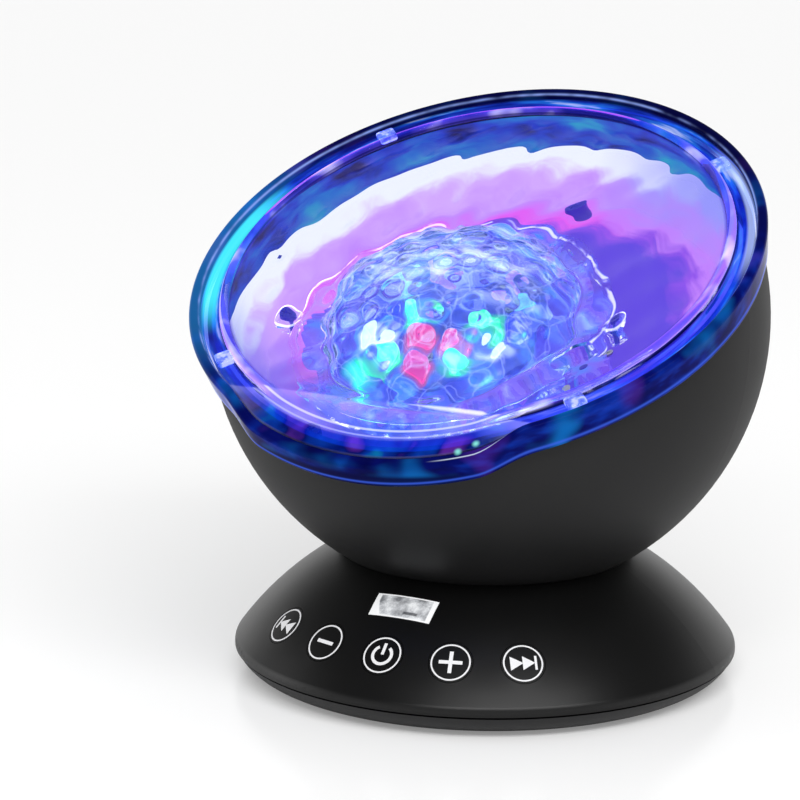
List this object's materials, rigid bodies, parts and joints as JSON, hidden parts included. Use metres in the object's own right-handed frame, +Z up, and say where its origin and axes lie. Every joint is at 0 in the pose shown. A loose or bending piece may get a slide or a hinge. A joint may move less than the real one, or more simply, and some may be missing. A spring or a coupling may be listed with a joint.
{
  "type": "wave projector lamp",
  "caption": "Ball-shaped lamp head on a saucer foot: a tilted clear cover over a turning knobbly dome that casts moving wave light, with press keys on the front of the foot.",
  "frame": {"origin": "on the floor, in the middle of the foot's non-slip ring", "axes": "+Z up, the sloping cover and the keys face -Y, +X to the right seen from the front"},
  "size_m": [0.1494, 0.1454, 0.1448],
  "materials": {
    "satin_black_plastic": "fine satin mould texture",
    "grey_black_plastic": "fine satin mould texture",
    "clear_blue_plastic": "clear, polished",
    "clear_lilac_plastic": "clear, polished",
    "white_tray_plastic": "smooth white",
    "white_nylon": "smooth",
    "screw_steel": "zinc plated",
    "bright_steel": "smooth",
    "gearbox_brass": "stamped",
    "white_board": "solder mask",
    "green_board": "solder mask",
    "red_light": "clear tinted, lit",
    "green_light": "clear tinted, lit",
    "blue_light": "clear tinted, lit",
    "white_light": "clear, lit",
    "dark_rubber": "soft",
    "dark_plastic": "smooth",
    "window_clear": "clear, polished",
    "basket_steel": "painted",
    "cone_paper": "pressed paper",
    "red_lead": "insulated lead"
  },
  "bodies": {
    "housing": {"bowl_shell": "satin_black_plastic", "base_top": "satin_black_plastic", "base_bottom": "grey_black_plastic", "clear_cover": "clear_blue_plastic", "retainer_ring": "clear_lilac_plastic", "reflector_tray": "white_tray_plastic", "tray_screws": "screw_steel", "retainer_screws": "screw_steel", "led_screws": "screw_steel", "motor_screws": "screw_steel", "base_screws": "screw_steel", "neck_screws": "screw_steel", "carrier_screws": "screw_steel", "board_screws": "screw_steel", "motor_can": "bright_steel", "usb_socket": "bright_steel", "speaker_magnet": "bright_steel", "gearbox_case": "gearbox_brass", "led_board": "white_board", "main_board": "green_board", "key_carrier": "green_board", "red_leds": "red_light", "green_leds": "green_light", "blue_leds": "blue_light", "white_leds": "white_light", "rubber_foot": "dark_rubber", "key_switches": "dark_plastic", "ir_receiver": "dark_plastic", "audio_jack": "dark_plastic", "receiver_window": "window_clear", "speaker_frame": "basket_steel", "speaker_cone": "cone_paper", "wire_loom": "red_lead"},
    "dome": {"wave_dome": "clear_lilac_plastic", "dome_gear": "white_nylon"},
    "pinion": {"motor_shaft": "bright_steel", "drive_pinion": "white_nylon"},
    "back_key": {"key_back": "satin_black_plastic"},
    "minus_key": {"key_minus": "satin_black_plastic"},
    "power_key": {"key_power": "satin_black_plastic"},
    "plus_key": {"key_plus": "satin_black_plastic"},
    "forward_key": {"key_forward": "satin_black_plastic"}
  },
  "joints": [
    {"name": "dome_spin", "type": "hinge", "parent": "housing", "child": "dome", "pos_m": [-0.012, 0, 0.0933], "axis": [0, -0.4656, 0.885], "continuous": true},
    {"name": "pinion_spin", "type": "hinge", "parent": "housing", "child": "pinion", "pos_m": [0.03069, -0.00942, 0.08834], "axis": [0, -0.4656, 0.885], "continuous": true},
    {"name": "back_press", "type": "slide", "parent": "housing", "child": "back_key", "axis": [0.419, 0.5809, -0.6978], "range_m": [0, 0.0006], "stiffness_N_per_m": 400},
    {"name": "minus_press", "type": "slide", "parent": "housing", "child": "minus_key", "axis": [0.2201, 0.6816, -0.6978], "range_m": [0, 0.0006], "stiffness_N_per_m": 400},
    {"name": "power_press", "type": "slide", "parent": "housing", "child": "power_key", "axis": [0, 0.7162, -0.6978], "range_m": [0, 0.0006], "stiffness_N_per_m": 400},
    {"name": "plus_press", "type": "slide", "parent": "housing", "child": "plus_key", "axis": [-0.2201, 0.6816, -0.6978], "range_m": [0, 0.0006], "stiffness_N_per_m": 400},
    {"name": "forward_press", "type": "slide", "parent": "housing", "child": "forward_key", "axis": [-0.419, 0.5809, -0.6978], "range_m": [0, 0.0006], "stiffness_N_per_m": 400}
  ],
  "couplings": [
    {"joint": "pinion_spin", "follows": "dome_spin", "ratio": -6.3333}
  ]
}
